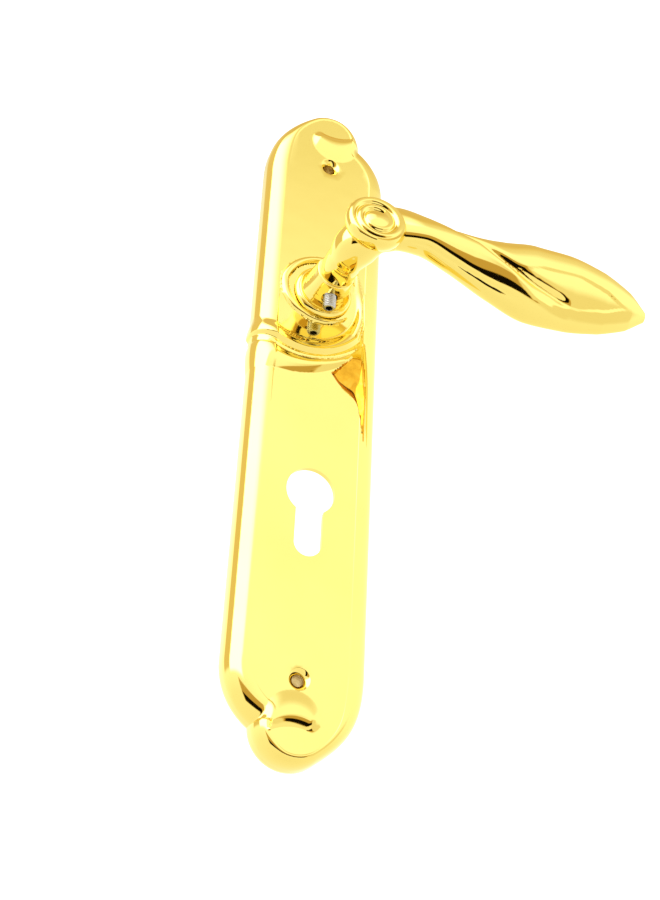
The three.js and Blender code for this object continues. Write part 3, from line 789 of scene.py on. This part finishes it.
def lever_tube(rows=260, around=120):
    """Neck and arm as one tube through the stations, with the ropelike strand and the leaf's hollow."""
    stations = np.array(LEVER_STATIONS, float)
    t = np.linspace(TUBE_START, 1, rows)
    last = len(stations) - 1
    centre = catmull(stations[:, :3], t)
    size = catmull(stations[:, 3:], t)
    at = np.clip(t, 0.5 / last, 1 - 0.5 / last)
    ahead = catmull(stations[:, :3], at + 1e-3) - catmull(stations[:, :3], at - 1e-3)
    ahead /= np.linalg.norm(ahead, axis=1)[:, None]
    flat = np.array([0, 1.0, 0]) - ahead * ahead[:, 1:2]
    flat /= np.linalg.norm(flat, axis=1)[:, None]
    side = np.cross(ahead, flat)
    twist = np.radians(size[:, 2])[:, None]
    up = flat * np.cos(twist) + side * np.sin(twist)
    out = side * np.cos(twist) - flat * np.sin(twist)
    phi = np.linspace(0, 2 * np.pi, around, endpoint=False)
    grow = arm_relief(t[:, None], np.degrees(phi)[None, :])
    high = (size[:, 0:1] + grow) * np.cos(phi)
    thick = (size[:, 1:2] + grow) * np.sin(phi)
    points = centre[:, None] + up[:, None] * high[..., None] + out[:, None] * thick[..., None]
    points = points.reshape(-1, 3)
    faces = grid_faces(rows, around)
    faces.append(list(range(around))[::-1])
    faces.append(list(range((rows - 1) * around, rows * around)))
    return points, faces


def turn_gap(a, b):
    """Signed angle from b to a in degrees."""
    return (a - b + 180) % 360 - 180


def arm_relief(t, phi):
    """Ornament on the arm in millimetres, at share t of its length and phi degrees round it."""
    return strand(t, phi) - sliver(t, phi) - groove(t, phi) - rim_step(t, phi)


def strand(t, phi):
    """The strand that winds from the arm's top across its face to its underside, with a hollow
    beside it."""
    crest = np.interp(t, [0.44, 0.50, 0.56, 0.60, 0.65, 0.68, 0.71, 0.75, 0.80],
                      [10, 34, 56, 63, 84, 100, 111, 130, 150])
    gap = turn_gap(phi, crest)
    on = smooth((t - 0.42) / 0.10) * (1 - smooth((t - 0.72) / 0.07))
    after = np.exp(-(np.clip(gap, 0, None) / 30) ** 2)
    raised = 0.7 * after * np.exp(-(np.clip(gap, None, 0) / 5) ** 2)
    hollow = -1.1 * np.exp(-((gap + 11) / 7.5) ** 2)
    early = smooth((t - 0.48) / 0.12) * (1 - smooth((t - 0.62) / 0.06))
    return on * (raised + hollow * early)


def sliver(t, phi):
    """The narrow valley that ends in the leaf's face, as a depth."""
    valley = turn_gap(phi, np.interp(t, [0.60, 0.669, 0.70, 0.73, 0.77], [64, 84, 94, 102, 114]))
    after = np.exp(-(np.clip(valley, 0, None) / 4.5) ** 2)
    cut = after * np.exp(-(np.clip(valley, None, 0) / 9) ** 2)
    return 1.25 * cut * smooth((t - 0.60) / 0.06) * (1 - smooth((t - 0.755) / 0.03))


def groove(t, phi):
    """A shallow groove low on the arm, as a depth."""
    gap = turn_gap(phi, np.interp(t, [0.44, 0.55, 0.62, 0.70], [152, 146, 136, 128]))
    on = smooth((t - 0.46) / 0.05) * (1 - smooth((t - 0.64) / 0.07))
    return 0.35 * on * np.exp(-(gap / 6) ** 2)


def rim_step(t, phi):
    """The step down from the leaf's rim to its face, as a depth."""
    on = smooth((t - 0.66) / 0.08) * (1 - smooth((t - 0.86) / 0.06))
    middle = np.interp(t, [0.66, 0.76, 0.84, 0.90], [92, 92, 92, 94])
    face = np.interp(t, [0.66, 0.72, 0.80, 0.86, 0.90], [8, 24, 27, 18, 4])
    away = np.abs(turn_gap(phi, middle)) / face
    return on * 0.42 * smooth((1.10 - away) / 0.20)


# the scroll's drum: radius and height
SCROLL_SIDE = [(5.0, -5.4), (7.6, -5.0), (9.4, -4.2), (10.6, -3.0), (11.2, -1.6), (11.45, -0.2),
               (11.4, 0.9), (11.0, 1.9), (10.4, 2.6)]


def scroll():
    """The rolled scroll on the elbow: a drum with a spiral channel that winds in to a central boss."""
    around = 160
    a = np.linspace(0, 2 * np.pi, around, endpoint=False)
    turn = ((a - math.radians(60)) / (2 * np.pi)) % 1.0
    rows = []
    for r, z in SCROLL_SIDE:
        rows.append(np.stack([r * np.cos(a), r * np.sin(a), np.full(around, float(z))], axis=1))
    for r in np.arange(10.0, 0.3, -0.16):
        channel = 0.0
        for k in range(3):
            track = 4.1 + 3.1 * (turn + k)
            depth = np.where(track < 8.8, 1.0, np.clip((9.8 - track), 0, 1))
            channel = channel + depth * np.exp(-((r - track) / 0.75) ** 2)
        dome = 2.8 + 1.0 * math.cos(min(r / 4.0, 1) * math.pi / 2)
        rows.append(np.stack([r * np.cos(a), r * np.sin(a), dome - 1.05 * channel], axis=1))
    points = np.vstack(rows)
    faces = grid_faces(len(rows), around)
    faces.append(list(range((len(rows) - 1) * around, len(rows) * around)))
    faces.append(list(range(around))[::-1])
    lean = math.radians(SCROLL_LEAN)
    y = points[:, 1] * math.cos(lean) - points[:, 2] * math.sin(lean)
    z = points[:, 1] * math.sin(lean) + points[:, 2] * math.cos(lean)
    return np.stack([points[:, 0], y, z], axis=1) + SCROLL_PLACE, faces


def lever_foot():
    """The flared foot with its ledge, drilled from below into the socket for the grub screw."""
    profile = [(6.5, 14.2), (9.5, 14.2), (9.7, 14.35), (9.8, 14.7), (9.7, 15.3), (9.35, 16.3),
               (8.95, 17.5), (8.55, 19.0), (8.2, 20.6), (7.9, 22.2), (7.65, 23.8), (7.45, 25.2),
               (7.35, 25.9), (7.2, 26.25), (6.9, 26.4), (6.5, 26.5)]
    rows = [tuple(p) for p in dense(np.array(profile), 0.25)]
    points, faces = turned(rows, 240)
    drilled = in_grub_hole(points)
    points[drilled, 1] = -SOCKET_HALF
    return points, [face for face in faces if not drilled[list(face)].all()]


def in_grub_hole(points):
    """Which points the grub screw's hole takes away; the hole enters from below."""
    return (points[:, 1] < 0) & (np.hypot(points[:, 0], points[:, 2] - GRUB_OUT) < GRUB_HOLE_R)


def shank():
    """The turned shank behind the foot, with the square spindle socket sunk into it."""
    count = 120
    points, faces = turned([(6.9, 0.2), (7.0, 0.3), (7.0, 5.8), (7.8, 5.9), (7.8, 15.4)], count)
    a = np.linspace(0, 2 * np.pi, count, endpoint=False)
    square = 1 / np.maximum(np.abs(np.cos(a)), np.abs(np.sin(a)))
    rows = []
    depths = [(SOCKET_HALF, z) for z in np.linspace(SOCKET_TOP, 0.5, 100)]
    for half, z in [*depths, (SOCKET_HALF + 0.25, 0.2)]:
        reach = half * square
        rows.append(np.stack([reach * np.cos(a), reach * np.sin(a), np.full(count, z)], axis=1))
    points = np.vstack([*rows, points])
    faces = np.array(grid_faces(len(points) // count, count))
    faces = faces[~in_grub_hole(points[faces].mean(1))].tolist()
    faces.append(list(range(count)))
    return points, faces


def lever():
    """The lever's neck, arm, scroll, foot and shank, as one casting."""
    points, faces = joined([lever_tube(), scroll(), lever_foot(), shank()])
    return make_object("lever_brass", points, faces, BRASS, 40)


def grub_screw():
    """M5 socket grub screw, pointing up into the neck, its hex socket at the lower end."""
    low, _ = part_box("grub_screw")
    bottom = low.z / MM
    around = 72
    a = np.linspace(0, 2 * np.pi, around, endpoint=False)
    rows = []

    def ring(r, y):
        r = np.broadcast_to(r, a.shape)
        rows.append(np.stack([r * np.cos(a), np.full(around, y), GRUB_OUT + r * np.sin(a)], axis=1))

    hexagon = 1.25 / np.cos((a + np.pi / 6) % (np.pi / 3) - np.pi / 6)
    ring(0.05, bottom + 2.4)
    ring(hexagon * 0.98, bottom + 2.0)
    ring(hexagon, bottom + 0.12)
    ring(hexagon + 0.1, bottom)
    ring(1.8, bottom)
    for y in np.arange(0.1, GRUB_LENGTH - 0.05, 0.05):
        turn = (y / GRUB_PITCH + a / (2 * np.pi)) % 1.0
        tooth = np.clip(1.35 * (1 - np.abs(2 * turn - 1)) - 0.12, 0, 1)
        taper = min(1.0, y / 0.5, (GRUB_LENGTH - y) / 0.5)
        ring(np.minimum(2.12 + 0.38 * tooth, 1.85 + 0.65 * taper), bottom + y)
    ring(1.6, bottom + GRUB_LENGTH)
    ring(0.05, bottom + GRUB_LENGTH)
    points = np.vstack(rows)
    faces = grid_faces(len(rows), around)
    faces.append(list(range(around)))
    faces.append(list(range((len(rows) - 1) * around, len(rows) * around)))
    obj = make_object("grub_screw_steel", points, faces, BRIGHT, 30)
    # painted shade: the hex socket's inside gets the dark steel, standing in for the shade in the recess
    obj.data.materials.append(SPRING_STEEL_AND_SOCKET_SHADE)
    for polygon in obj.data.polygons:
        x, y, z = polygon.center / MM
        if math.hypot(x, y + GRUB_OUT) < 1.38 and bottom + 0.05 < z < bottom + 3:
            polygon.material_index = 1
    return obj


def neck_ferrule():
    """Coned collar between the panel and the lever's foot, its lip lying over the bush."""
    profile = [(10.2, 11.8), (11.2, 11.8), (11.35, 11.95), (11.3, 12.3), (11.0, 12.8),
               (10.55, 13.25), (10.0, 13.65), (9.5, 13.9), (9.0, 14.0), (8.4, 14.0),
               (8.15, 13.95), (8.1, 13.7), (10.05, 13.7), (10.2, 13.5)]
    around = 160
    points, faces = turned(profile, around)
    total = len(points)
    closing = grid_faces(2, around, start=total - around)
    faces += [[v % total for v in f] for f in closing]
    return make_object("neck_ferrule_brass", points, faces, BRASS, 40)


def place(obj, node, body, slot):
    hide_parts(node)
    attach(obj, body)


place(backplate(), "backplate", "plate", "brass")
place(lever(), "lever", "handle", "brass")
place(grub_screw(), "grub_screw", "grub", "bright_steel")
place(neck_ferrule(), "neck_ferrule", "plate", "brass")

for name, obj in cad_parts.items():
    if name.startswith("housing_screw"):
        finish = BRIGHT
    elif name in ("bearing_bush", "thrust_washer"):
        finish = NYLON
    elif name in ("return_spring", "wave_washer", "retaining_ring"):
        finish = SPRING_STEEL_AND_SOCKET_SHADE
    elif name.startswith("fixing_pillar"):
        finish = RAW
    else:
        finish = ZINC
    obj.data.materials.clear()
    obj.data.materials.append(finish)


# ---- stage ----

FLOOR_Z = -0.6
# the light tent's level against height: 0 straight down, 1 straight up
SKY = [(0.0, 1.02), (0.33, 1.10), (0.5, 1.22), (0.66, 1.32), (0.78, 1.28), (0.84, 0.97),
       (0.90, 0.88), (0.955, 0.72), (1.0, 0.70)]
# the tint of each level, from the warm screens that shade the tent to plain white
WARMTH = [(0.0, (0, 0, 0)), (0.02, (0.01, 0.007, 0.002)), (0.2, (0.28, 0.160, 0.024)),
          (0.367, (0.44, 0.30, 0.115)), (0.533, (0.573, 0.455, 0.26)), (0.65, (0.65, 0.615, 0.50)),
          (0.80, (0.80, 0.80, 0.77)), (1.0, (1, 1, 1))]
# levels of the tent's parts, where WHITE is what WARMTH's white end stands for
WHITE = 1.5
LOW_RIGHT = 0.95
BEHIND_LEFT = 0.80
SOFT_BOX = 3.6
CAMERA_SCREEN = 0.5
CAMERA_OPENING = 0.012
TOWARD_CAMERA = (-0.277, -0.822, -0.498)


def zone(nodes, value, low, high, soft):
    """1 where the value lies between low and high, fading to 0 over soft edges."""
    rise = nodes.span(value, low - soft, low + soft)
    return nodes.math("MULTIPLY", rise, nodes.span(value, high - soft, high + soft, 1.0, 0.0))


def patch(nodes, *zones):
    """1 where all the zones overlap."""
    result = zones[0]
    for other in zones[1:]:
        result = nodes.math("MULTIPLY", result, other)
    return result


def blend(nodes, level, mask, value):
    """The level, replaced by the value where the mask is 1."""
    kept = nodes.math("MULTIPLY", level, nodes.math("SUBTRACT", 1.0, mask))
    return nodes.math("ADD", kept, nodes.math("MULTIPLY", mask, value))


def tent(nodes, toward):
    """The tent's level in every direction, with its dimmer sides and the soft box on the left."""
    axes = nodes.add("ShaderNodeSeparateXYZ", {"Vector": toward}).outputs
    x, y, z = axes["X"], axes["Y"], axes["Z"]
    height = nodes.math("MULTIPLY", nodes.math("ADD", z, 1.0), 0.5)
    # a ramp holds colours up to 1, so the levels go in halved
    tall = nodes.ramp(height, [(at, (value / 2,) * 3) for at, value in SKY])
    level = nodes.add("ShaderNodeSeparateColor", {"Color": tall}).outputs["Red"]
    level = nodes.math("MULTIPLY", level, 2.0)
    low_right = patch(nodes, zone(nodes, x, 0.25, 0.9, 0.08), zone(nodes, y, -1.0, -0.45, 0.08),
                      zone(nodes, z, -0.5, 0.12, 0.08))
    level = blend(nodes, level, low_right, LOW_RIGHT)
    behind_left = patch(nodes, zone(nodes, x, -1.1, -0.38, 0.03), zone(nodes, y, 0.05, 0.62, 0.03),
                        zone(nodes, z, 0.1, 0.9, 0.05))
    level = blend(nodes, level, behind_left, BEHIND_LEFT)
    soft_box = patch(nodes, nodes.span(x, -0.60, 0.12, 1.0, 0.0),
                     zone(nodes, y, -0.86, -0.01, 0.04), zone(nodes, z, 0.05, 0.88, 0.06))
    return blend(nodes, level, soft_box, SOFT_BOX)


def camera_side(nodes, toward, level):
    """The same level with the tent's dark opening for the camera and the grey screen above it."""
    def share(direction):
        d = tuple(direction.normalized())
        node = nodes.add("ShaderNodeVectorMath", {0: toward, 1: d}, operation="DOT_PRODUCT")
        return node.outputs["Value"]

    camera_way = Vector(TOWARD_CAMERA).normalized()
    across = camera_way.cross(Vector((0, 0, 1))).normalized()
    above = across.cross(camera_way).normalized()
    front = nodes.span(share(camera_way), 0.0, 0.2)
    width = zone(nodes, share(across), -0.735, 0.58, 0.03)
    upward = share(above)
    screen = patch(nodes, front, width, zone(nodes, upward, 0.11, 0.36, 0.02))
    opening = patch(nodes, front, width, zone(nodes, upward, -0.13, 0.11, 0.02))
    level = blend(nodes, level, screen, CAMERA_SCREEN)
    return blend(nodes, level, opening, CAMERA_OPENING)


def studio():
    """A white light tent, dim overhead, that the camera sees as plain white."""
    world = bpy.data.worlds.new("studio")
    bpy.context.scene.world = world
    world.use_nodes = True
    nodes = Nodes(world.node_tree)
    background = next(n for n in world.node_tree.nodes if n.type == "BACKGROUND")
    toward = nodes.add("ShaderNodeTexCoord").outputs["Generated"]
    level = camera_side(nodes, toward, tent(nodes, toward))
    seen = nodes.add("ShaderNodeLightPath").outputs["Is Camera Ray"]
    level = nodes.math("DIVIDE", blend(nodes, level, seen, WHITE), WHITE)
    nodes.link(nodes.ramp(level, WARMTH), background.inputs["Color"])
    strength = nodes.math("MULTIPLY", nodes.math("MAXIMUM", level, 1.0), WHITE)
    nodes.link(strength, background.inputs["Strength"])


def floor():
    """A wide pale floor well below the handle, which leaves the tent alone in the reflections."""
    side, count = 3.0, 40
    lines = np.linspace(-side, side, count)
    points = np.array([(x, FLOOR_Z / MM, -y) for x in lines / MM for y in lines / MM])
    obj = make_object("floor", points, grid_faces(count, count, wrap=False), PLASTER)
    obj.visible_glossy = False


def camera():
    """The photo's viewpoint, as fitted to the cylinder cut-out, the plate's edges and its two holes."""
    data = bpy.data.cameras.new("camera")
    data.sensor_width = 36
    data.lens = 53.93
    obj = bpy.data.objects.new("camera", data)
    right = Vector((0.93791375, -0.34378109, 0.04617748))
    down = Vector((0.20915704, 0.45431329, -0.8659404))
    forward = Vector((0.27671489, 0.82183575, 0.49801091))
    turn = Matrix((right, -down, -forward)).transposed()
    obj.matrix_world = Matrix.Translation(Vector((-0.12667, -0.40609, -0.30622))) @ turn.to_4x4()
    data.clip_start = 0.01
    data.clip_end = 20
    bpy.context.scene.collection.objects.link(obj)
    bpy.context.scene.camera = obj


studio()
floor()
camera()
bpy.context.scene.view_settings.view_transform = "Standard"
